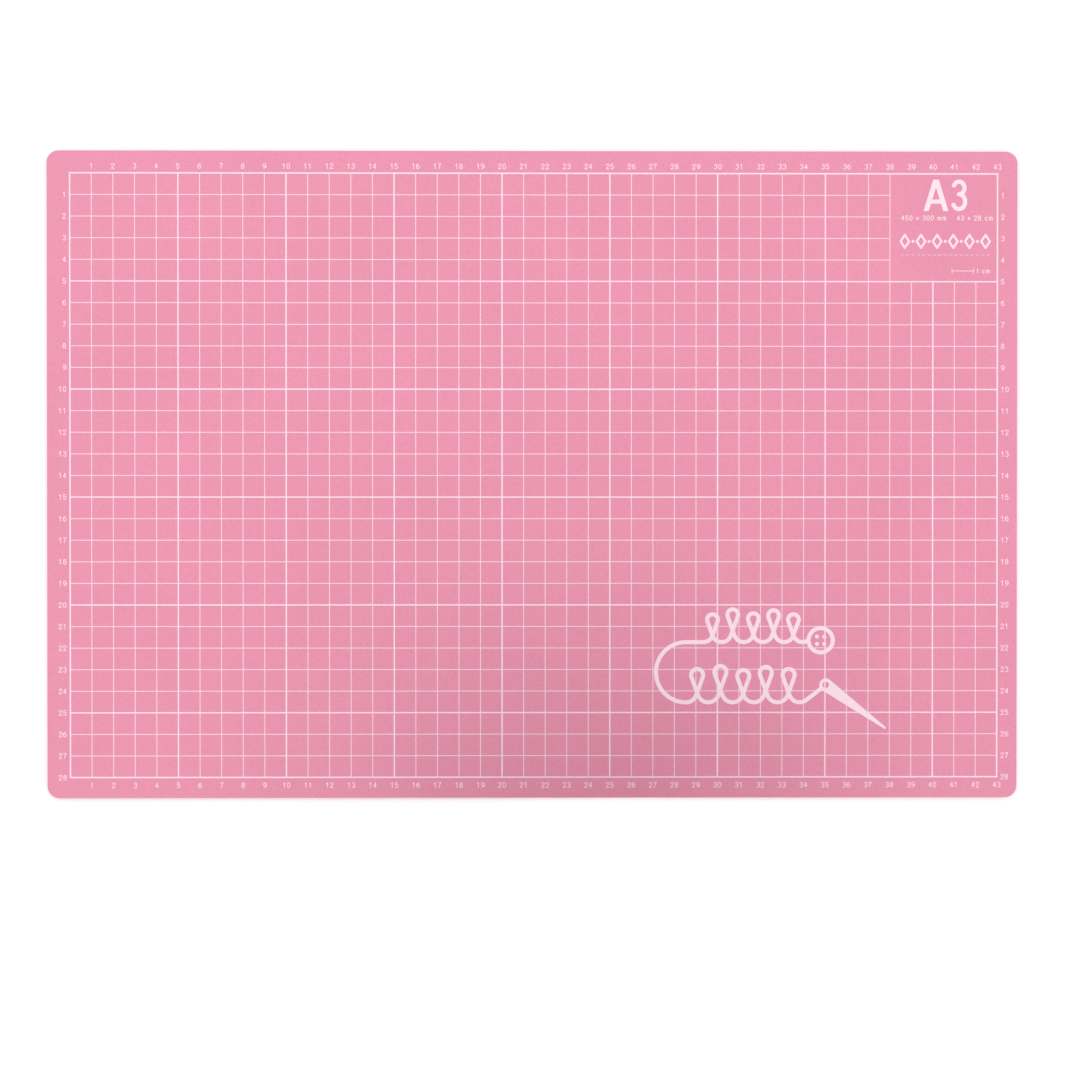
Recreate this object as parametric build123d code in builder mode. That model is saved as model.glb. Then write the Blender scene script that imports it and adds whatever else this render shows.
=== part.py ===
"""Self healing cutting mat, A3 size: five bonded plies with a centimetre grid printed on the top face.

Millimetres. The origin is the centre of the underside, X runs along the long side, Y along the short
side towards the edge with the size label, and Z points up through the printed face.
"""

from build123d import *
import os

# ---- the mat ----
MAT_LENGTH = 450.0
MAT_WIDTH = 300.0
CORNER_RADIUS = 5.5
EDGE_ROUND = 0.3

# ---- the plies, from the underside up; together they make the 3 mm mat ----
BACK_FILM = 0.4
LOWER_PLY = 0.9
CORE = 0.4
UPPER_PLY = 0.9
FACE_FILM = 0.4
FACE_HEIGHT = BACK_FILM + LOWER_PLY + CORE + UPPER_PLY + FACE_FILM

# ---- the printed grid ----
PITCH = 10.0
COLUMNS = 43
ROWS = 28
GRID_LENGTH = COLUMNS * PITCH
GRID_WIDTH = ROWS * PITCH
PRINT_SHIFT_X = 0.7
PRINT_SHIFT_Y = -0.4
GRID_LEFT = PRINT_SHIFT_X - GRID_LENGTH / 2
GRID_TOP = PRINT_SHIFT_Y + GRID_WIDTH / 2
GRID_RIGHT = GRID_LEFT + GRID_LENGTH
GRID_BOTTOM = GRID_TOP - GRID_WIDTH
BORDER_LINE = 0.68
TEN_LINE = 0.64
FIVE_LINE = 0.60
CENTIMETRE_LINE = 0.34
INK = 0.02
OVERPRINT = 0.04

# ---- the numerals along the four sides ----
NUMERAL_HEIGHT = 2.6
NUMERAL_STROKE = 0.33
GLYPH_WIDTH_RATIO = 0.56
GLYPH_ADVANCE_RATIO = 0.78
WIDE_ADVANCE_RATIO = 1.0
BLANK_ADVANCE_RATIO = 0.5
TOP_SCALE_GAP = 3.2
BOTTOM_SCALE_GAP = 3.65
LEFT_SCALE_GAP = 1.8
RIGHT_SCALE_GAP = 1.8

# ---- the size label, in the corner that the grid leaves free ----
LABEL_COLUMN = 38
LABEL_ROWS = 5
LABEL_LEFT = GRID_LEFT + LABEL_COLUMN * PITCH
SIZE_CODE_HEIGHT = 14.6
SIZE_CODE_STROKE = 1.95
SIZE_CODE_DROP = 2.65
SIZE_CODE_A_X = 21.4
SIZE_CODE_3_X = 32.1
SIZE_CODE_3_WIDTH_RATIO = 0.45
SIZE_CODE_A_FOOT = 5.8
SIZE_CODE_A_APEX = 1.3
SIZE_CODE_A_LEG = 2.4
SIZE_CODE_A_BAR = 1.9
SIZE_CODE_A_BAR_RISE = 3.45
SIZE_LINE_DROP = 20.45
SIZE_LINE_HEIGHT = 2.4
SIZE_LINE_STROKE = 0.33
SIZE_LINE_LEFT_X = 15.8
SIZE_LINE_RIGHT_X = 39.5
BAND_DROP = 31.3
BAND_CENTRE_X = 25.7
BAND_HEIGHT = 7.0
BAND_DIAMONDS = 6
BAND_PITCH = 7.5
BAND_DIAMOND_WIDTH = 4.0
BAND_STROKE = 1.0
BAND_DOT_RADIUS = 0.7
RULE_DROP = 37.6
STITCH_LINE = 0.2
STITCH_LENGTH = 1.5
STITCH_PITCH = 2.5
STITCHES = 17
SCALE_BAR_DROP = 45.0
SCALE_BAR_X = 33.9
SCALE_TEXT_X = 43.3
SCALE_TEXT_HEIGHT = 2.2

# ---- the needle and thread printed near the lower right corner ----
MOTIF_X = GRID_LEFT + 269
MOTIF_Y = GRID_TOP - 258
BUTTON_PLACE = (79.0, 41.5)
BUTTON_RADIUS = 6.6
BUTTON_HOLE_RADIUS = 0.95
BUTTON_HOLE_SPACING = 3.4
THREAD = 1.9
THREAD_LEAN = 70.0
THREAD_ENTRY = 25.0
UPPER_RISES = (7.0, 9.0, 7.5, 9.5, 7.0)
UPPER_CROWN_RADIUS = 2.5
UPPER_BEND_RADIUS = 4.5
THREAD_LEAD = 8.0
RETURN_RADIUS = 14.0
LOWER_RISES = (9.0, 10.5, 8.5, 10.0, 9.0)
LOWER_CROWN_RADIUS = 2.8
LOWER_BEND_RADIUS = 5.0
THREAD_EXIT = 38.0
THREAD_TAIL = 9.0
NEEDLE_LENGTH = 34.0
NEEDLE_SLOPE = -36.0
NEEDLE_HEAD_RADIUS = 3.0
NEEDLE_EYE_RADIUS = 1.5
NEEDLE_TIP_RADIUS = 0.5


def column_x(column):
    """X of a grid line, counted from the left border."""
    return GRID_LEFT + column * PITCH


def row_y(row):
    """Y of a grid line, counted from the top border."""
    return GRID_TOP - row * PITCH


def line_width(index):
    """Every fifth line is heavier, and every tenth heavier again."""
    if index % 10 == 0:
        return TEN_LINE
    if index % 5 == 0:
        return FIVE_LINE
    return CENTIMETRE_LINE


def write_node(piece, name):
    piece.label = name
    export_step(piece, f"parts/{name}.step")


# ---------------------------------------------------------------- plies
def mat_outline(height):
    """The die-cut outline shared by every ply, drawn at the height of its lower face."""
    with BuildSketch(Plane.XY.offset(height)) as outline:
        RectangleRounded(MAT_LENGTH, MAT_WIDTH, CORNER_RADIUS)
    return outline.sketch


with BuildPart() as back_film:
    add(mat_outline(0))
    extrude(amount=BACK_FILM)
    fillet(back_film.edges().group_by(Axis.Z)[0], EDGE_ROUND)

with BuildPart() as lower_healing_ply:
    add(mat_outline(BACK_FILM))
    extrude(amount=LOWER_PLY)

with BuildPart() as rigid_core:
    add(mat_outline(BACK_FILM + LOWER_PLY))
    extrude(amount=CORE)

with BuildPart() as upper_healing_ply:
    add(mat_outline(BACK_FILM + LOWER_PLY + CORE))
    extrude(amount=UPPER_PLY)

with BuildPart() as face_film:
    add(mat_outline(FACE_HEIGHT - FACE_FILM))
    extrude(amount=FACE_FILM)
    fillet(face_film.edges().group_by(Axis.Z)[-1], EDGE_ROUND)


# ---------------------------------------------------------------- printed grid
FACE = Plane.XY.offset(FACE_HEIGHT)
INNER_LENGTH = GRID_LENGTH - BORDER_LINE
INNER_WIDTH = GRID_WIDTH - BORDER_LINE

with BuildPart() as print_border:
    with BuildSketch(FACE):
        with Locations((PRINT_SHIFT_X, PRINT_SHIFT_Y)):
            Rectangle(GRID_LENGTH + BORDER_LINE, GRID_WIDTH + BORDER_LINE)
            Rectangle(INNER_LENGTH, INNER_WIDTH, mode=Mode.SUBTRACT)
    extrude(amount=INK)

# The lines across the mat and the lines along it cross, and are kept as separate strips of ink.
with BuildPart() as lines_across:
    for column in range(1, COLUMNS):
        beside_label = column > LABEL_COLUMN
        top = row_y(LABEL_ROWS) if beside_label else GRID_TOP - BORDER_LINE / 2
        bottom = GRID_BOTTOM + BORDER_LINE / 2
        with Locations((column_x(column), (top + bottom) / 2, FACE_HEIGHT + INK / 2)):
            Box(line_width(column), top - bottom, INK)

with BuildPart() as lines_along:
    for row in range(1, ROWS):
        left = GRID_LEFT + BORDER_LINE / 2
        right = column_x(LABEL_COLUMN) if row < LABEL_ROWS else GRID_RIGHT - BORDER_LINE / 2
        with Locations(((left + right) / 2, row_y(row), FACE_HEIGHT + INK / 2)):
            Box(right - left, line_width(row), INK)

print_grid = Compound(children=[lines_across.part, lines_along.part])


# ---------------------------------------------------------------- numerals
def oval(centre_y, x_radius, y_radius):
    """A closed oval on the character's own centre line, drawn as two halves."""
    EllipticalCenterArc((0, centre_y), x_radius, y_radius, start_angle=0, arc_size=180)
    EllipticalCenterArc((0, centre_y), x_radius, y_radius, start_angle=180, arc_size=180)


def glyph_strokes(character, half, height):
    """Centre lines of one character: half is half its width, and its baseline is y = 0."""
    if character == "0":
        oval(height / 2, half, height / 2)
    elif character == "1":
        Polyline((-0.7 * half, 0.74 * height), (0.15 * half, height), (0.15 * half, 0))
    elif character == "2":
        crown = ThreePointArc((-half, 0.70 * height), (0, height), (half, 0.72 * height))
        slope = Line(crown @ 1, (-half, 0))
        Line(slope @ 1, (half, 0))
    elif character == "3":
        EllipticalCenterArc((0, 0.77 * height), 0.9 * half, 0.23 * height, start_angle=-90, arc_size=245)
        EllipticalCenterArc((0, 0.27 * height), half, 0.27 * height, start_angle=-155, arc_size=245)
    elif character == "4":
        Polyline((0.45 * half, 0), (0.45 * half, height), (-half, 0.30 * height), (half, 0.30 * height))
    elif character == "5":
        shoulder = Polyline((0.8 * half, height), (-0.7 * half, height), (-0.9 * half, 0.52 * height))
        ThreePointArc(shoulder @ 1, (half, 0.32 * height), (-half, 0.16 * height))
    elif character == "6":
        oval(0.31 * height, half, 0.31 * height)
        ThreePointArc((-half, 0.31 * height), (-0.55 * half, 0.85 * height), (0.7 * half, 0.93 * height))
    elif character == "7":
        lintel = Line((-half, height), (half, height))
        ThreePointArc(lintel @ 1, (0.1 * half, 0.55 * height), (-0.35 * half, 0))
    elif character == "8":
        oval(0.77 * height, 0.85 * half, 0.23 * height)
        oval(0.27 * height, half, 0.27 * height)
    elif character == "9":
        oval(0.69 * height, half, 0.31 * height)
        ThreePointArc((half, 0.69 * height), (0.55 * half, 0.15 * height), (-0.7 * half, 0.07 * height))
    elif character == "x":
        Line((-0.8 * half, 0.12 * height), (0.8 * half, 0.68 * height))
        Line((-0.8 * half, 0.68 * height), (0.8 * half, 0.12 * height))
    elif character == "c":
        EllipticalCenterArc((0, 0.34 * height), 0.9 * half, 0.34 * height, start_angle=45, arc_size=270)
    elif character == "m":
        leg = 1.2 * half
        shoulder = 0.45 * height
        Line((-leg, 0), (-leg, 0.70 * height))
        for foot in (0, leg):
            arch = ThreePointArc((foot - leg, shoulder), (foot - leg / 2, 0.70 * height), (foot, shoulder))
            Line(arch @ 1, (foot, 0))


def glyph(character, height, stroke, width_ratio=GLYPH_WIDTH_RATIO):
    """One character as a flat shape centred on its own origin, with round ends and corners."""
    reach = height - stroke
    with BuildSketch() as shape:
        with BuildLine() as strokes:
            glyph_strokes(character, reach * width_ratio / 2, reach)
        for edge in strokes.edges():
            trace(edge, line_width=stroke)
        with Locations(*[(vertex.X, vertex.Y) for vertex in strokes.vertices()]):
            Circle(stroke / 2)
    return shape.sketch.moved(Location((0, -reach / 2, 0)))


def glyph_set(characters, height, stroke):
    return {character: glyph(character, height, stroke) for character in characters}


def advance_ratio(character):
    """How far one character moves the text on, as a share of its height."""
    if character == "m":
        return WIDE_ADVANCE_RATIO
    if character == " ":
        return BLANK_ADVANCE_RATIO
    return GLYPH_ADVANCE_RATIO


def text_shapes(text, glyphs, height, centre_x, centre_y):
    """The characters of one word or number, centred on a point."""
    pen_x = centre_x - height * sum(advance_ratio(character) for character in text) / 2
    placed = []
    for character in text:
        advance = height * advance_ratio(character)
        if character != " ":
            placed.append(glyphs[character].moved(Location((pen_x + advance / 2, centre_y, 0))))
        pen_x += advance
    return placed


def ink_film(shapes, thickness=INK):
    """Flat shapes laid on the mat's face as a film of ink."""
    with BuildPart() as film:
        with BuildSketch(FACE):
            add(shapes)
        extrude(amount=thickness)
    return film.part


numerals = glyph_set("0123456789", NUMERAL_HEIGHT, NUMERAL_STROKE)


def numeral_shapes(value, centre_x, centre_y):
    return text_shapes(str(value), numerals, NUMERAL_HEIGHT, centre_x, centre_y)


def numeral_width(value):
    advance = NUMERAL_HEIGHT * GLYPH_ADVANCE_RATIO
    return advance * (len(str(value)) - 1) + NUMERAL_HEIGHT * GLYPH_WIDTH_RATIO


top_numbers = []
bottom_numbers = []
for column in range(1, COLUMNS + 1):
    top_numbers += numeral_shapes(column, column_x(column), GRID_TOP + TOP_SCALE_GAP)
    bottom_numbers += numeral_shapes(column, column_x(column), GRID_BOTTOM - BOTTOM_SCALE_GAP)

left_numbers = []
right_numbers = []
for row in range(1, ROWS + 1):
    half_width = numeral_width(row) / 2
    left_numbers += numeral_shapes(row, GRID_LEFT - LEFT_SCALE_GAP - half_width, row_y(row))
    right_numbers += numeral_shapes(row, GRID_RIGHT + RIGHT_SCALE_GAP + half_width, row_y(row))

print_scale_top = ink_film(top_numbers)
print_scale_bottom = ink_film(bottom_numbers)
print_scale_left = ink_film(left_numbers)
print_scale_right = ink_film(right_numbers)


# ---------------------------------------------------------------- size label
def size_code_a():
    """Bold capital A on a baseline at y = 0: a wedge with its counter and its foot cut out."""
    slope = (SIZE_CODE_A_FOOT - SIZE_CODE_A_APEX) / SIZE_CODE_HEIGHT
    inner_foot = SIZE_CODE_A_FOOT - SIZE_CODE_A_LEG
    under_bar = inner_foot - slope * SIZE_CODE_A_BAR_RISE
    over_bar = under_bar - slope * SIZE_CODE_A_BAR
    bar_top = SIZE_CODE_A_BAR_RISE + SIZE_CODE_A_BAR
    wedge = [
        (-SIZE_CODE_A_FOOT, 0),
        (-SIZE_CODE_A_APEX, SIZE_CODE_HEIGHT),
        (SIZE_CODE_A_APEX, SIZE_CODE_HEIGHT),
        (SIZE_CODE_A_FOOT, 0),
    ]
    foot_gap = [
        (-inner_foot, 0),
        (-under_bar, SIZE_CODE_A_BAR_RISE),
        (under_bar, SIZE_CODE_A_BAR_RISE),
        (inner_foot, 0),
    ]
    counter = [(-over_bar, bar_top), (0, bar_top + over_bar / slope), (over_bar, bar_top)]
    with BuildSketch() as letter:
        for corners, mode in ((wedge, Mode.ADD), (foot_gap, Mode.SUBTRACT), (counter, Mode.SUBTRACT)):
            with BuildLine():
                Polyline(corners, close=True)
            make_face(mode=mode)
    return letter.sketch


code_base = GRID_TOP - SIZE_CODE_DROP - SIZE_CODE_HEIGHT
code_middle = code_base + SIZE_CODE_HEIGHT / 2
code_a = size_code_a().moved(Location((LABEL_LEFT + SIZE_CODE_A_X, code_base, 0)))
code_3 = glyph("3", SIZE_CODE_HEIGHT, SIZE_CODE_STROKE, SIZE_CODE_3_WIDTH_RATIO)
code_3 = code_3.moved(Location((LABEL_LEFT + SIZE_CODE_3_X, code_middle, 0)))
print_size_code = ink_film([code_a, code_3])

# The size of the mat, and the size of its grid.
small_glyphs = glyph_set("023458xcm", SIZE_LINE_HEIGHT, SIZE_LINE_STROKE)
size_line_y = GRID_TOP - SIZE_LINE_DROP
size_line = []
for words, words_x in (("450 x 300 mm", SIZE_LINE_LEFT_X), ("43 x 28 cm", SIZE_LINE_RIGHT_X)):
    size_line += text_shapes(words, small_glyphs, SIZE_LINE_HEIGHT, LABEL_LEFT + words_x, size_line_y)
print_size_line = ink_film(size_line)


def diamond(width, height, stroke):
    """A diamond outline with rounded corners, like the mark of a stitching chisel."""
    with BuildSketch() as outline:
        with BuildLine() as sides:
            Polyline((-width / 2, 0), (0, height / 2), (width / 2, 0), (0, -height / 2), close=True)
        for side in sides.edges():
            trace(side, line_width=stroke)
        with Locations(*[(corner.X, corner.Y) for corner in sides.vertices()]):
            Circle(stroke / 2)
    return outline.sketch


band_diamond = diamond(BAND_DIAMOND_WIDTH, BAND_HEIGHT - BAND_STROKE, BAND_STROKE)
with BuildPart() as print_label_band:
    with BuildSketch(FACE):
        with Locations((LABEL_LEFT + BAND_CENTRE_X, GRID_TOP - BAND_DROP)):
            with GridLocations(BAND_PITCH, 0, BAND_DIAMONDS, 1):
                add(band_diamond)
            with GridLocations(BAND_PITCH, 0, BAND_DIAMONDS - 1, 1):
                Circle(BAND_DOT_RADIUS)
    extrude(amount=INK)

# A rule of short dashes, like a row of stitches.
with BuildPart() as print_label_rule:
    with BuildSketch(FACE):
        with Locations((LABEL_LEFT + BAND_CENTRE_X, GRID_TOP - RULE_DROP)):
            with GridLocations(STITCH_PITCH, 0, STITCHES, 1):
                Rectangle(STITCH_LENGTH, STITCH_LINE)
    extrude(amount=INK)

# A scale bar exactly one centimetre long, with its length beside it.
bar_y = GRID_TOP - SCALE_BAR_DROP
bar_glyphs = glyph_set("1cm", SCALE_TEXT_HEIGHT, NUMERAL_STROKE)
bar_text = text_shapes("1 cm", bar_glyphs, SCALE_TEXT_HEIGHT, LABEL_LEFT + SCALE_TEXT_X, bar_y)
with BuildPart() as print_scale_bar:
    with BuildSketch(FACE):
        with Locations((LABEL_LEFT + SCALE_BAR_X, bar_y)):
            Rectangle(PITCH + NUMERAL_STROKE, NUMERAL_STROKE)
            with GridLocations(PITCH, 0, 2, 1):
                Rectangle(NUMERAL_STROKE, SCALE_TEXT_HEIGHT)
        add(bar_text)
    extrude(amount=INK)


# ---------------------------------------------------------------- button, thread and needle
def thread_loops(lead, side, rises, crown_radius, bend_radius, exit_angle):
    """Loops thrown over the thread's own line, going on from the curve `lead`.

    side is 1 for a thread that runs to the right and -1 for one that runs to the left. The last bend
    stops exit_angle above the direction of travel.
    """
    travel = Vector(side, 0)
    heading = travel.get_signed_angle(lead % 1, Vector(0, 0, side))
    bend = JernArc(lead @ 1, lead % 1, bend_radius, side * (THREAD_LEAN - heading))
    for count, rise in enumerate(rises, start=1):
        climb = PolarLine(bend @ 1, rise, direction=bend % 1)
        crown = JernArc(climb @ 1, climb % 1, crown_radius, side * (360 - 2 * THREAD_LEAN))
        fall = PolarLine(crown @ 1, rise, direction=crown % 1)
        leave = exit_angle if count == len(rises) else THREAD_LEAN
        bend = JernArc(fall @ 1, fall % 1, bend_radius, side * (THREAD_LEAN + leave))
    return bend


# One thread: out of the button to the left in loops, round a wide turn, and back in loops to the needle.
with BuildLine() as thread:
    button_x, button_y = BUTTON_PLACE
    first_pull = Vector(-1, 0).rotate(Axis.Z, THREAD_ENTRY)
    start = PolarLine((button_x - BUTTON_RADIUS + THREAD / 2, button_y), THREAD / 2, direction=first_pull)
    upper_end = thread_loops(start, -1, UPPER_RISES, UPPER_CROWN_RADIUS, UPPER_BEND_RADIUS, 0)
    lead_out = PolarLine(upper_end @ 1, THREAD_LEAD, direction=upper_end % 1)
    turn = JernArc(lead_out @ 1, lead_out % 1, RETURN_RADIUS, 180)
    lower_end = thread_loops(turn, 1, LOWER_RISES, LOWER_CROWN_RADIUS, LOWER_BEND_RADIUS, THREAD_EXIT)
    tail = PolarLine(lower_end @ 1, THREAD_TAIL, direction=lower_end % 1)

with BuildSketch() as needle:
    with BuildLine():
        CenterArc((0, 0), NEEDLE_HEAD_RADIUS, 0, 360)
        CenterArc((NEEDLE_LENGTH, 0), NEEDLE_TIP_RADIUS, 0, 360)
    make_hull()
    Circle(NEEDLE_EYE_RADIUS, mode=Mode.SUBTRACT)

with BuildSketch() as button:
    Circle(BUTTON_RADIUS)
    Circle(BUTTON_RADIUS - THREAD, mode=Mode.SUBTRACT)
    with GridLocations(BUTTON_HOLE_SPACING, BUTTON_HOLE_SPACING, 2, 2):
        Circle(BUTTON_HOLE_RADIUS)

with BuildSketch() as motif:
    for edge in thread.edges():
        trace(edge, line_width=THREAD)
    needle_eye = tail @ 1 + (tail % 1) * (NEEDLE_EYE_RADIUS + THREAD / 2)
    add(needle.sketch.moved(Location((needle_eye.X, needle_eye.Y, 0), NEEDLE_SLOPE)))
    add(button.sketch.moved(Location((button_x, button_y, 0))))

# The motif is a second pass of ink: it lies on the face between the grid's lines, and over them.
with BuildPart() as print_motif:
    with BuildSketch(FACE):
        add(motif.sketch.moved(Location((MOTIF_X, MOTIF_Y, 0))))
    extrude(amount=OVERPRINT)
    add(print_grid, mode=Mode.SUBTRACT)


# ---------------------------------------------------------------- the finished pieces
os.makedirs("parts", exist_ok=True)
for piece_name, piece in {
    "back_film": back_film.part,
    "lower_healing_ply": lower_healing_ply.part,
    "rigid_core": rigid_core.part,
    "upper_healing_ply": upper_healing_ply.part,
    "face_film": face_film.part,
    "print_border": print_border.part,
    "print_grid": print_grid,
    "print_scale_top": print_scale_top,
    "print_scale_bottom": print_scale_bottom,
    "print_scale_left": print_scale_left,
    "print_scale_right": print_scale_right,
    "print_size_code": print_size_code,
    "print_size_line": print_size_line,
    "print_label_band": print_label_band.part,
    "print_label_rule": print_label_rule.part,
    "print_scale_bar": print_scale_bar.part,
    "print_motif": print_motif.part,
}.items():
    write_node(piece, piece_name)
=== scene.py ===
"""Looks of an A3 self healing cutting mat: five bonded plies with a screen printed centimetre grid.

The plies are rebuilt as finer meshes with die-cut edges, and the crossing grid lines as one film of ink.
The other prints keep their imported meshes. Everything is in metres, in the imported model's own frame.
"""

import math

import bmesh
import bpy
from mathutils import Matrix, Vector, noise


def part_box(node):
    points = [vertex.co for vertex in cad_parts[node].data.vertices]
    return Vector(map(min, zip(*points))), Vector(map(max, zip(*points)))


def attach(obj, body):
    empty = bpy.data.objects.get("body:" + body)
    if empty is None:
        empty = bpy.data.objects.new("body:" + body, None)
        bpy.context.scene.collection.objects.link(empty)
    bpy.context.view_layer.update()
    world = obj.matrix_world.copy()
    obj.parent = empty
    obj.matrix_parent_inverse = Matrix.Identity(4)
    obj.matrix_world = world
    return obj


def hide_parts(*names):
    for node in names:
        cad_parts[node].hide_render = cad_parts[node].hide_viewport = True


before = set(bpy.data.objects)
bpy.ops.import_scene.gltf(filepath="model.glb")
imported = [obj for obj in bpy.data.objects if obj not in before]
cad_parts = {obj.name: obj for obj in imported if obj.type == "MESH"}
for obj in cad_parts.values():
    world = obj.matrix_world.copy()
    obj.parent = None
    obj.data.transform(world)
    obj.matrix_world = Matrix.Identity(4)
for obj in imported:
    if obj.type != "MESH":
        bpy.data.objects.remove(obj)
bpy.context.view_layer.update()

MM = 0.001


# ---------------------------------------------------------------- shader helpers
def new_material(name):
    """A fresh material with its nodes, its links and its Principled shader."""
    material = bpy.data.materials.new(name)
    material.use_nodes = True
    nodes = material.node_tree.nodes
    shader = nodes["Principled BSDF"]
    return material, nodes, material.node_tree.links, shader


def object_coordinates(nodes):
    """Places on the piece in metres, the same for every piece because all share one frame."""
    return nodes.new("ShaderNodeTexCoord").outputs["Object"]


def grain(nodes, links, coordinates, size, detail=2.0, roughness=0.5, stretch=(1, 1, 1)):
    """Noise whose grains are about size metres across, longer along an axis by its stretch."""
    mapping = nodes.new("ShaderNodeMapping")
    mapping.inputs["Scale"].default_value = [1 / (size * factor) for factor in stretch]
    links.new(coordinates, mapping.inputs["Vector"])
    texture = nodes.new("ShaderNodeTexNoise")
    texture.inputs["Scale"].default_value = 1.0
    texture.inputs["Detail"].default_value = detail
    texture.inputs["Roughness"].default_value = roughness
    links.new(mapping.outputs["Vector"], texture.inputs["Vector"])
    return texture.outputs["Fac"]


def pebble_skin(nodes, links, coordinates, size):
    """Distance from the middle of the nearest pebble, on a skin of pebbles about size metres across."""
    texture = nodes.new("ShaderNodeTexVoronoi")
    texture.inputs["Scale"].default_value = 1 / size
    links.new(coordinates, texture.inputs["Vector"])
    return texture.outputs["Distance"]


def ramp(nodes, links, factor, stops):
    """A colour ramp through (position, colour) stops."""
    node = nodes.new("ShaderNodeValToRGB")
    elements = node.color_ramp.elements
    while len(elements) < len(stops):
        elements.new(0.5)
    for element, (position, colour) in zip(elements, stops):
        element.position = position
        element.color = (*colour, 1)
    links.new(factor, node.inputs["Fac"])
    return node.outputs["Color"]


def map_range(nodes, links, factor, low, high, from_low=0.0, from_high=1.0):
    """The factor, moved from one range to another and held inside it."""
    node = nodes.new("ShaderNodeMapRange")
    node.inputs["From Min"].default_value = from_low
    node.inputs["From Max"].default_value = from_high
    node.inputs["To Min"].default_value = low
    node.inputs["To Max"].default_value = high
    links.new(factor, node.inputs["Value"])
    return node.outputs["Result"]


def mix_colour(nodes, links, factor, first, second, blend="MIX"):
    """Mixes two colours: each of them, and the factor, is a socket or a constant."""
    node = nodes.new("ShaderNodeMix")
    node.data_type = "RGBA"
    node.blend_type = blend
    node.clamp_factor = True
    inputs = {socket.identifier: socket for socket in node.inputs}
    values = {"Factor_Float": factor, "A_Color": first, "B_Color": second}
    for identifier, value in values.items():
        if isinstance(value, bpy.types.NodeSocket):
            links.new(value, inputs[identifier])
        else:
            inputs[identifier].default_value = value if isinstance(value, float) else (*value, 1)
    return next(socket for socket in node.outputs if socket.identifier == "Result_Color")


def bump(nodes, links, height, distance, strength, under=None):
    """A surface direction for hills distance metres high, on top of the bump under it."""
    node = nodes.new("ShaderNodeBump")
    node.inputs["Distance"].default_value = distance
    node.inputs["Strength"].default_value = strength
    links.new(height, node.inputs["Height"])
    if under is not None:
        links.new(under, node.inputs["Normal"])
    return node.outputs["Normal"]


def vary_roughness(nodes, links, shader, factor, middle, spread):
    """Roughness that follows factor, from the lower to the higher end of a spread about the middle."""
    under, over = spread
    links.new(map_range(nodes, links, factor, middle + under, middle + over), shader.inputs["Roughness"])


def scaled(colour, factor):
    """A colour made darker or brighter."""
    return tuple(channel * factor for channel in colour)


# ---------------------------------------------------------------- materials
PINK = (0.784, 0.279, 0.408)
EDGE_PINK = (0.76, 0.25, 0.375)
CORE_WHITE = (0.84, 0.80, 0.81)
INK = (0.95, 0.735, 0.825)

# Nearly all of the noise lies between these two values.
NOISE_LOW = 0.3
NOISE_HIGH = 0.7

# Film: how large each thing is that varies over it, how high or deep, and the tints that it adds.
CLOUD_SIZE = 70 * MM
CLOUD_SHIFT = 0.02
WAVE_SIZE = 45 * MM
WAVE_HEIGHT = 0.5 * MM
FLECK_SIZE = 0.9 * MM
FLECK_TINTS = [(0.35, (0.975, 0.965, 0.968)), (0.65, (1.0, 1.0, 1.0))]
PIT_SIZE = 0.35 * MM
PIT_DEPTH = 0.04 * MM
# The pit tints are painted shade: darker down in the pits, a little lighter on the raised ground between
# them.
PIT_PAINTED_SHADING = [(0.38, (0.96, 0.94, 0.95)), (0.52, (1.0, 1.0, 1.0)), (0.66, (1.01, 1.015, 1.015))]
FACE_PEBBLE = 0.45 * MM
BACK_PEBBLE = 0.7 * MM
PEBBLE_HEIGHT = 0.06 * MM
# The pebble tints are painted shade and highlight: lighter on the pebble tops, darker in the gaps
# between pebbles.
PEBBLE_PAINTED_SHADING = [(0.30, (1.03, 1.04, 1.04)), (0.60, (1.0, 1.0, 1.0)), (0.90, (0.90, 0.85, 0.87))]
FILM_ROUGHNESS_SPREAD = (-0.06, 0.08)
FILM_SPECULAR = 0.35

# Cut edge: upright knife lines, twelve times as tall as they are wide.
STREAK_SIZE = 0.25 * MM
STREAK_STRETCH = (1, 1, 12)
STREAK_DEPTH = 0.03 * MM
# The knife lines' darkest and palest colours are painted shade in their grooves and painted highlight on
# their ridges.
STREAK_PAINTED_SHADE = 0.93
STREAK_PAINTED_HIGHLIGHT = 1.04
EDGE_ROUGHNESS_SPREAD = (-0.05, 0.10)
EDGE_SPECULAR = 0.3

# Ink: patches where it lies thinner or thicker, and pinholes left by the mesh of the printing screen.
PATCH_SIZE = 3 * MM
PATCH_FADE = (0.35, 0.65)
MESH_SIZE = 0.16 * MM
MESH_DEPTH = 0.02 * MM
PINHOLE_PINK = 0.30
PINHOLE_FADE = (0.30, 0.44)
INK_ROUGHNESS_SPREAD = (-0.05, 0.08)
INK_SPECULAR = 0.4


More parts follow.
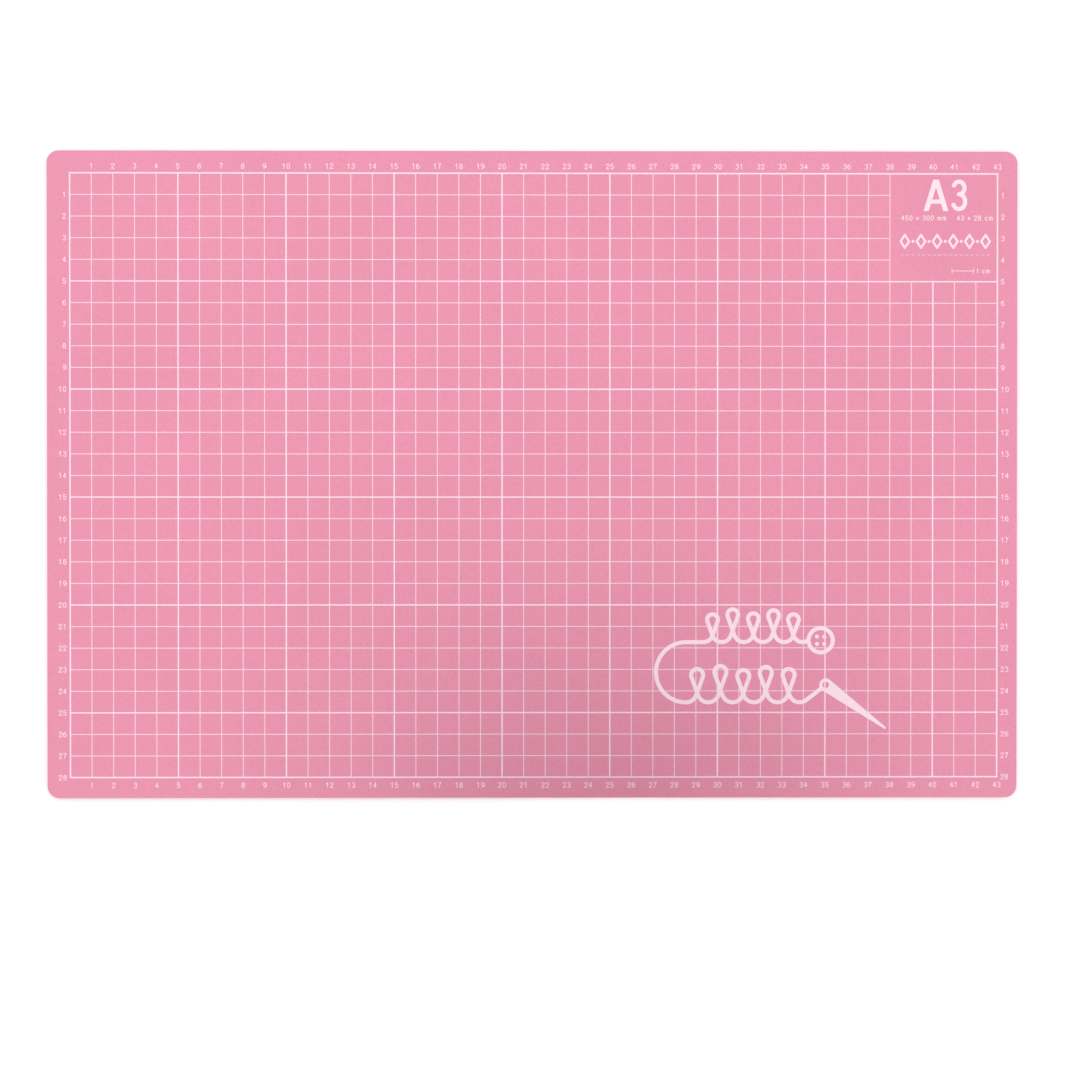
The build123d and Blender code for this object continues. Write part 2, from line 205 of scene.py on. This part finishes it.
def film_material(name, roughness, pebble):
    """Matte PVC film: a skin of fine pebbles, faint cloudiness and flecks, and painted shade and
    highlight on its pits and pebbles.
    """
    material, nodes, links, shader = new_material(name)
    place = object_coordinates(nodes)
    cloud = grain(nodes, links, place, CLOUD_SIZE, detail=3)
    darkest = scaled(PINK, 1 - CLOUD_SHIFT)
    palest = scaled(PINK, 1 + CLOUD_SHIFT)
    base = ramp(nodes, links, cloud, [(NOISE_LOW, darkest), (NOISE_HIGH, palest)])
    flecks = grain(nodes, links, place, FLECK_SIZE, detail=2)
    pits = grain(nodes, links, place, PIT_SIZE, detail=3, roughness=0.6)
    pebbles = pebble_skin(nodes, links, place, pebble)
    # The pit and pebble tints paint shade in the hollows and highlight on the tops; the flecks are the
    # film's own colour.
    for factor, tints in ((flecks, FLECK_TINTS), (pits, PIT_PAINTED_SHADING), (pebbles, PEBBLE_PAINTED_SHADING)):
        tint = ramp(nodes, links, factor, tints)
        base = mix_colour(nodes, links, 1.0, base, tint, "MULTIPLY")
    links.new(base, shader.inputs["Base Color"])
    vary_roughness(nodes, links, shader, pits, roughness, FILM_ROUGHNESS_SPREAD)
    waves = grain(nodes, links, place, WAVE_SIZE, detail=1)
    domes = map_range(nodes, links, pebbles, 1.0, 0.0)
    normal = bump(nodes, links, waves, WAVE_HEIGHT, strength=0.08)
    normal = bump(nodes, links, domes, PEBBLE_HEIGHT, strength=0.8, under=normal)
    normal = bump(nodes, links, pits, PIT_DEPTH, strength=0.6, under=normal)
    links.new(normal, shader.inputs["Normal"])
    shader.inputs["Specular IOR Level"].default_value = FILM_SPECULAR
    return material


def edge_material(name, colour, roughness):
    """The die-cut edge of a ply: upright knife lines, painted shade in their grooves and highlight on
    their ridges.
    """
    material, nodes, links, shader = new_material(name)
    place = object_coordinates(nodes)
    streaks = grain(nodes, links, place, STREAK_SIZE, detail=2, stretch=STREAK_STRETCH)
    # Painted shade in the grooves of the knife lines, painted highlight on their ridges.
    darkest = scaled(colour, STREAK_PAINTED_SHADE)
    palest = scaled(colour, STREAK_PAINTED_HIGHLIGHT)
    base = ramp(nodes, links, streaks, [(NOISE_LOW, darkest), (NOISE_HIGH, palest)])
    links.new(base, shader.inputs["Base Color"])
    vary_roughness(nodes, links, shader, streaks, roughness, EDGE_ROUGHNESS_SPREAD)
    links.new(bump(nodes, links, streaks, STREAK_DEPTH, strength=0.4), shader.inputs["Normal"])
    shader.inputs["Specular IOR Level"].default_value = EDGE_SPECULAR
    return material


def ink_material(name, roughness, thinnest, thickest):
    """Satin screen ink: thinnest and thickest say how much pink shows where it lies thin and thick."""
    material, nodes, links, shader = new_material(name)
    place = object_coordinates(nodes)
    patches = grain(nodes, links, place, PATCH_SIZE, detail=3)
    thin = mix_colour(nodes, links, thinnest, INK, PINK)
    thick = mix_colour(nodes, links, thickest, INK, PINK)
    cover = map_range(nodes, links, patches, 0.0, 1.0, *PATCH_FADE)
    base = mix_colour(nodes, links, cover, thin, thick)
    mesh_marks = grain(nodes, links, place, MESH_SIZE, detail=2)
    pinholes = map_range(nodes, links, mesh_marks, PINHOLE_PINK, 0.0, *PINHOLE_FADE)
    links.new(mix_colour(nodes, links, pinholes, base, PINK), shader.inputs["Base Color"])
    vary_roughness(nodes, links, shader, mesh_marks, roughness, INK_ROUGHNESS_SPREAD)
    links.new(bump(nodes, links, mesh_marks, MESH_DEPTH, strength=0.6), shader.inputs["Normal"])
    shader.inputs["Specular IOR Level"].default_value = INK_SPECULAR
    return material


face_material = film_material("pink_face_film", roughness=0.55, pebble=FACE_PEBBLE)
back_material = film_material("pink_back_film", roughness=0.6, pebble=BACK_PEBBLE)
ply_material = edge_material("pink_healing_ply", EDGE_PINK, roughness=0.6)
core_material = edge_material("white_core", CORE_WHITE, roughness=0.5)
line_ink = ink_material("white_line_ink", roughness=0.5, thinnest=0.14, thickest=0.03)
solid_ink = ink_material("white_solid_ink", roughness=0.45, thinnest=0.08, thickest=0.0)


# ---------------------------------------------------------------- pieces
def add_piece(name, shape, node, material):
    """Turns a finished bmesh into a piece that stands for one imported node."""
    mesh = bpy.data.meshes.new(name)
    shape.to_mesh(mesh)
    shape.free()
    mesh.materials.append(material)
    piece = bpy.data.objects.new(name, mesh)
    bpy.context.scene.collection.objects.link(piece)
    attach(piece, "root")
    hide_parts(node)
    return piece


def smooth(piece):
    for face in piece.data.polygons:
        face.use_smooth = True


def cell_square(column, row):
    """The four corners of a cell, anticlockwise, as the columns and rows that they stand on."""
    return ((column, row), (column + 1, row), (column + 1, row + 1), (column, row + 1))


# ---------------------------------------------------------------- plies
CORNER_RADIUS = 5.5 * MM
EDGE_ROUND = 0.3 * MM
ROUND_STEPS = 6
SUPPORT_LOOP = 0.15 * MM
CORNER_STEPS = 16
CELLS_ALONG = 88
CELLS_ACROSS = 58
WALL_STEPS = 8
BOND_GROOVE = 0.06 * MM
GROOVE_SHARPNESS = 6
KNIFE_DRIFT = 0.03 * MM
DRIFT_LENGTH = 14 * MM
QUARTER_TURN = math.pi / 2


def outline(centre, reach_x, reach_y, inset):
    """The mat's rounded outline, drawn inset metres inside it, anticlockwise from the +X side.

    Each entry is a point, the direction out of the mat there, and the cell corner of the flat face
    that the point is joined to: every point of a rounded corner has the same one.
    """
    turns = (
        (1, 1, CELLS_ALONG, CELLS_ACROSS),
        (-1, 1, 0, CELLS_ACROSS),
        (-1, -1, 0, 0),
        (1, -1, CELLS_ALONG, 0),
    )
    entries = []
    for index, (side_x, side_y, cell_x, cell_y) in enumerate(turns):
        pivot = centre + Vector((side_x * reach_x, side_y * reach_y))
        for step in range(CORNER_STEPS + 1):
            angle = (index + step / CORNER_STEPS) * QUARTER_TURN
            outward = Vector((math.cos(angle), math.sin(angle)))
            entries.append((pivot + outward * (CORNER_RADIUS - inset), outward, (cell_x, cell_y)))
        next_x, next_y, next_cell_x, next_cell_y = turns[(index + 1) % 4]
        next_pivot = centre + Vector((next_x * reach_x, next_y * reach_y))
        cells = abs(next_cell_x - cell_x) + abs(next_cell_y - cell_y)
        for step in range(1, cells):
            share = step / cells
            column = round(cell_x + share * (next_cell_x - cell_x))
            row = round(cell_y + share * (next_cell_y - cell_y))
            point = pivot.lerp(next_pivot, share) + outward * (CORNER_RADIUS - inset)
            entries.append((point, outward, (column, row)))
    return entries


def pinched_wall(low_z, high_z, pinch_low, pinch_high):
    """Inset and height up a ply's edge, drawn in where it meets a bond line."""
    profile = []
    for step in range(WALL_STEPS + 1):
        share = step / WALL_STEPS
        pinch = pinch_low * (1 - share) ** GROOVE_SHARPNESS + pinch_high * share ** GROOVE_SHARPNESS
        profile.append((BOND_GROOVE * pinch, low_z + share * (high_z - low_z)))
    return profile


def rounded_shoulder(wall_z, open_z):
    """Inset and height round the soft outer edge of a film, from its wall to its flat open face."""
    rise = open_z - wall_z
    profile = []
    for step in range(1, ROUND_STEPS + 1):
        angle = step / ROUND_STEPS * QUARTER_TURN
        profile.append((EDGE_ROUND * (1 - math.cos(angle)), wall_z + rise * math.sin(angle)))
    profile.append((EDGE_ROUND + SUPPORT_LOOP, open_z))
    return profile


def flat_face(sheet, ring, cells, centre, reach_x, reach_y):
    """A flat face divided into cells, and the strip that joins it to the ring of points round it."""
    height = ring[0].co.z
    inner = {}
    for column in range(CELLS_ALONG + 1):
        for row in range(CELLS_ACROSS + 1):
            x = centre.x + reach_x * (2 * column / CELLS_ALONG - 1)
            y = centre.y + reach_y * (2 * row / CELLS_ACROSS - 1)
            inner[column, row] = sheet.verts.new((x, y, height))
    for column in range(CELLS_ALONG):
        for row in range(CELLS_ACROSS):
            sheet.faces.new([inner[corner] for corner in cell_square(column, row)])
    for index in range(len(ring)):
        following = (index + 1) % len(ring)
        joined = [ring[index], ring[following], inner[cells[following]]]
        if cells[following] != cells[index]:
            joined.append(inner[cells[index]])
        sheet.faces.new(joined)


def ply_sheet(name, node, profile, material, seed):
    """One ply as a closed sheet: a wall that follows profile, between two flat faces."""
    low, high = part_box(node)
    centre = Vector(((low.x + high.x) / 2, (low.y + high.y) / 2))
    reach_x = (high.x - low.x) / 2 - CORNER_RADIUS
    reach_y = (high.y - low.y) / 2 - CORNER_RADIUS
    sheet = bmesh.new()
    rings = []
    for inset, height in profile:
        ring = []
        for point, outward, cell in outline(centre, reach_x, reach_y, inset):
            sway = noise.noise(Vector((point.x / DRIFT_LENGTH, point.y / DRIFT_LENGTH, seed)))
            edge = point - outward * KNIFE_DRIFT * (1 + sway) / 2
            ring.append(sheet.verts.new((edge.x, edge.y, height)))
        rings.append(ring)
    for below, above in zip(rings, rings[1:]):
        for index in range(len(below)):
            following = (index + 1) % len(below)
            sheet.faces.new((below[index], below[following], above[following], above[index]))
    cells = [cell for point, outward, cell in outline(centre, reach_x, reach_y, 0)]
    for ring in (rings[0], rings[-1]):
        flat_face(sheet, ring, cells, centre, reach_x, reach_y)
    bmesh.ops.recalc_face_normals(sheet, faces=sheet.faces)
    piece = add_piece(name, sheet, node, material)
    smooth(piece)


def inner_ply(name, node, material, seed):
    """A ply that is bonded on both sides."""
    low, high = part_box(node)
    ply_sheet(name, node, pinched_wall(low.z, high.z, 1, 1), material, seed)


def outer_film(name, node, facing, material, seed):
    """A film that is bonded on one side and has a rounded edge on the other: facing is 1 up, -1 down."""
    low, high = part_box(node)
    bonded_z, open_z = (low.z, high.z) if facing > 0 else (high.z, low.z)
    shoulder_z = open_z - facing * EDGE_ROUND
    profile = pinched_wall(bonded_z, shoulder_z, 1, 0) + rounded_shoulder(shoulder_z, open_z)
    ply_sheet(name, node, profile, material, seed)


face_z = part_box("face_film")[1].z
outer_film("face_film_sheet", "face_film", 1, face_material, 0)
inner_ply("upper_healing_sheet", "upper_healing_ply", ply_material, 1)
inner_ply("rigid_core_sheet", "rigid_core", core_material, 2)
inner_ply("lower_healing_sheet", "lower_healing_ply", ply_material, 3)
outer_film("back_film_sheet", "back_film", -1, back_material, 4)


# ---------------------------------------------------------------- printed grid
SAME_PLACE = 0.001 * MM


def separate_boxes(node):
    """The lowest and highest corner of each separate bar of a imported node."""
    bars = bmesh.new()
    bars.from_mesh(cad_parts[node].data)
    bmesh.ops.remove_doubles(bars, verts=bars.verts, dist=SAME_PLACE)
    waiting = set(bars.verts)
    boxes = []
    while waiting:
        reached = [waiting.pop()]
        for vertex in reached:
            for edge in vertex.link_edges:
                neighbour = edge.other_vert(vertex)
                if neighbour in waiting:
                    waiting.remove(neighbour)
                    reached.append(neighbour)
        corners = [vertex.co.copy() for vertex in reached]
        low = Vector([min(corner[axis] for corner in corners) for axis in range(3)])
        high = Vector([max(corner[axis] for corner in corners) for axis in range(3)])
        boxes.append((low, high))
    bars.free()
    return boxes


def cuts(values):
    """Sorted values, without the ones that stand in the same place."""
    kept = []
    for value in sorted(values):
        if not kept or value - kept[-1] > SAME_PLACE:
            kept.append(value)
    return kept


def nearest(places, value):
    """The index of the place that is nearest to a value."""
    return min(range(len(places)), key=lambda index: abs(places[index] - value))


def fused_film(name, node, material):
    """The crossing bars of a node as one flat film: cells of ink, with walls only where the ink ends."""
    boxes = separate_boxes(node)
    across = cuts([corner.x for box in boxes for corner in box])
    along = cuts([corner.y for box in boxes for corner in box])
    floor_z = min(low.z for low, high in boxes)
    top_z = max(high.z for low, high in boxes)
    inked = set()
    for low, high in boxes:
        for column in range(nearest(across, low.x), nearest(across, high.x)):
            for row in range(nearest(along, low.y), nearest(along, high.y)):
                inked.add((column, row))
    film = bmesh.new()
    corners = {}

    def corner(column, row, height):
        if (column, row, height) not in corners:
            corners[column, row, height] = film.verts.new((across[column], along[row], height))
        return corners[column, row, height]

    for column, row in sorted(inked):
        square = cell_square(column, row)
        film.faces.new([corner(*place, top_z) for place in square])
        film.faces.new([corner(*place, floor_z) for place in reversed(square)])
        beside = ((column, row - 1), (column + 1, row), (column, row + 1), (column - 1, row))
        for index, neighbour in enumerate(beside):
            if neighbour not in inked:
                start, end = square[index], square[(index + 1) % 4]
                rim = ((start, floor_z), (end, floor_z), (end, top_z), (start, top_z))
                film.faces.new([corner(*place, height) for place, height in rim])
    bmesh.ops.recalc_face_normals(film, faces=film.faces)
    add_piece(name, film, node, material)


fused_film("grid_ink_film", "print_grid", line_ink)


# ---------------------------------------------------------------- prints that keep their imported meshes
SOLID_PRINTS = ("print_motif", "print_size_code")


def dress(node, material):
    """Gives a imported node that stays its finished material."""
    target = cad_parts[node].data
    target.materials.clear()
    target.materials.append(material)


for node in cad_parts:
    if node.startswith("print_"):
        dress(node, solid_ink if node in SOLID_PRINTS else line_ink)


# ---------------------------------------------------------------- studio
KEY_PLACE = Vector((-0.9, 0.8, 1.9))
KEY_SIZE = 0.7
KEY_POWER = 5.2
FILL_PLACE = Vector((1.1, 0.5, 1.7))
FILL_SIZE = 1.2
FILL_POWER = 2.4
SURROUND = 1.0
FLOOR_CENTRE = Vector((0, 0, 0))
FLOOR_REACH = Vector((6.0, 6.0))
FLOOR_COLOUR = (0.96, 0.96, 0.96, 1)
FLOOR_ROUGHNESS = 0.9
FLOOR_GLOW = 0.05
FLAG_PLACE = Vector((0.04, -0.18, 0.12))
FLAG_REACH = Vector((0.085, 0.070))
FLAG_COLOUR = (0.02, 0.02, 0.02, 1)
FLAG_ROUGHNESS = 1.0
SPOT_GLOW = 0.45
SPOT_RADIUS = 0.26
WHITE = (1, 1, 1, 1)


def area_light(name, place, size, power):
    """A round soft light that looks at the middle of the mat."""
    data = bpy.data.lights.new(name, "AREA")
    data.shape = "DISK"
    data.size = size
    data.energy = power
    lamp = bpy.data.objects.new(name, data)
    lamp.location = place
    lamp.rotation_euler = (-place).to_track_quat("-Z", "Y").to_euler()
    bpy.context.scene.collection.objects.link(lamp)


def studio_card(name, centre, reach, material):
    """A flat card for the studio, parallel to the floor."""
    mesh = bpy.data.meshes.new(name)
    corners = [(x * reach.x, y * reach.y, 0) for x, y in ((-1, -1), (1, -1), (1, 1), (-1, 1))]
    mesh.from_pydata(corners, [], [(0, 1, 2, 3)])
    mesh.materials.append(material)
    card = bpy.data.objects.new(name, mesh)
    card.location = centre
    bpy.context.scene.collection.objects.link(card)
    return card


def floor_material():
    """Pale and matte, glowing a little more under the flag, so that no grey patch shows there."""
    material, nodes, links, shader = new_material("studio_floor")
    shader.inputs["Base Color"].default_value = FLOOR_COLOUR
    shader.inputs["Roughness"].default_value = FLOOR_ROUGHNESS
    mapping = nodes.new("ShaderNodeMapping")
    mapping.vector_type = "TEXTURE"
    mapping.inputs["Location"].default_value = (FLAG_PLACE.x, FLAG_PLACE.y, 0)
    mapping.inputs["Scale"].default_value = (SPOT_RADIUS, SPOT_RADIUS, SPOT_RADIUS)
    links.new(object_coordinates(nodes), mapping.inputs["Vector"])
    spot = nodes.new("ShaderNodeTexGradient")
    spot.gradient_type = "QUADRATIC_SPHERE"
    links.new(mapping.outputs["Vector"], spot.inputs["Vector"])
    glow = map_range(nodes, links, spot.outputs["Fac"], FLOOR_GLOW, SPOT_GLOW)
    shader.inputs["Emission Color"].default_value = WHITE
    links.new(glow, shader.inputs["Emission Strength"])
    return material


def flag_material():
    """Nearly black and quite matte."""
    material, nodes, links, shader = new_material("studio_flag")
    shader.inputs["Base Color"].default_value = FLAG_COLOUR
    shader.inputs["Roughness"].default_value = FLAG_ROUGHNESS
    return material


studio_card("studio_floor", FLOOR_CENTRE, FLOOR_REACH, floor_material())

# A dark flag above the near edge softens the light there. The camera and reflections don't see it.
flag = studio_card("studio_flag", FLAG_PLACE, FLAG_REACH, flag_material())
flag.visible_camera = False
flag.visible_glossy = False

world = bpy.data.worlds.new("studio")
world.use_nodes = True
world.node_tree.nodes["Background"].inputs["Color"].default_value = WHITE
world.node_tree.nodes["Background"].inputs["Strength"].default_value = SURROUND
bpy.context.scene.world = world
area_light("key", KEY_PLACE, KEY_SIZE, KEY_POWER)
area_light("fill", FILL_PLACE, FILL_SIZE, FILL_POWER)


# ---------------------------------------------------------------- camera
# The lens and the sensor are in millimetres, as a camera gives them.
LENS = 85.0
SENSOR = 36.0
VIEW_WIDTH = 0.501
AIM = Vector((0.0033, -0.0303, face_z))
CAMERA_LEAN = Vector((-0.0118, 0.0103, 0))
camera_data = bpy.data.cameras.new("camera")
camera_data.lens = LENS
camera_data.sensor_width = SENSOR
camera = bpy.data.objects.new("camera", camera_data)
distance = VIEW_WIDTH * LENS / SENSOR
camera.location = AIM + Vector((0, 0, distance)) + CAMERA_LEAN
back_axis = (camera.location - AIM).normalized()
right_axis = Vector((0, 1, 0)).cross(back_axis).normalized()
up_axis = back_axis.cross(right_axis)
camera.rotation_euler = Matrix((right_axis, up_axis, back_axis)).transposed().to_euler()
bpy.context.scene.collection.objects.link(camera)
bpy.context.scene.camera = camera
bpy.context.scene.view_settings.view_transform = "Standard"
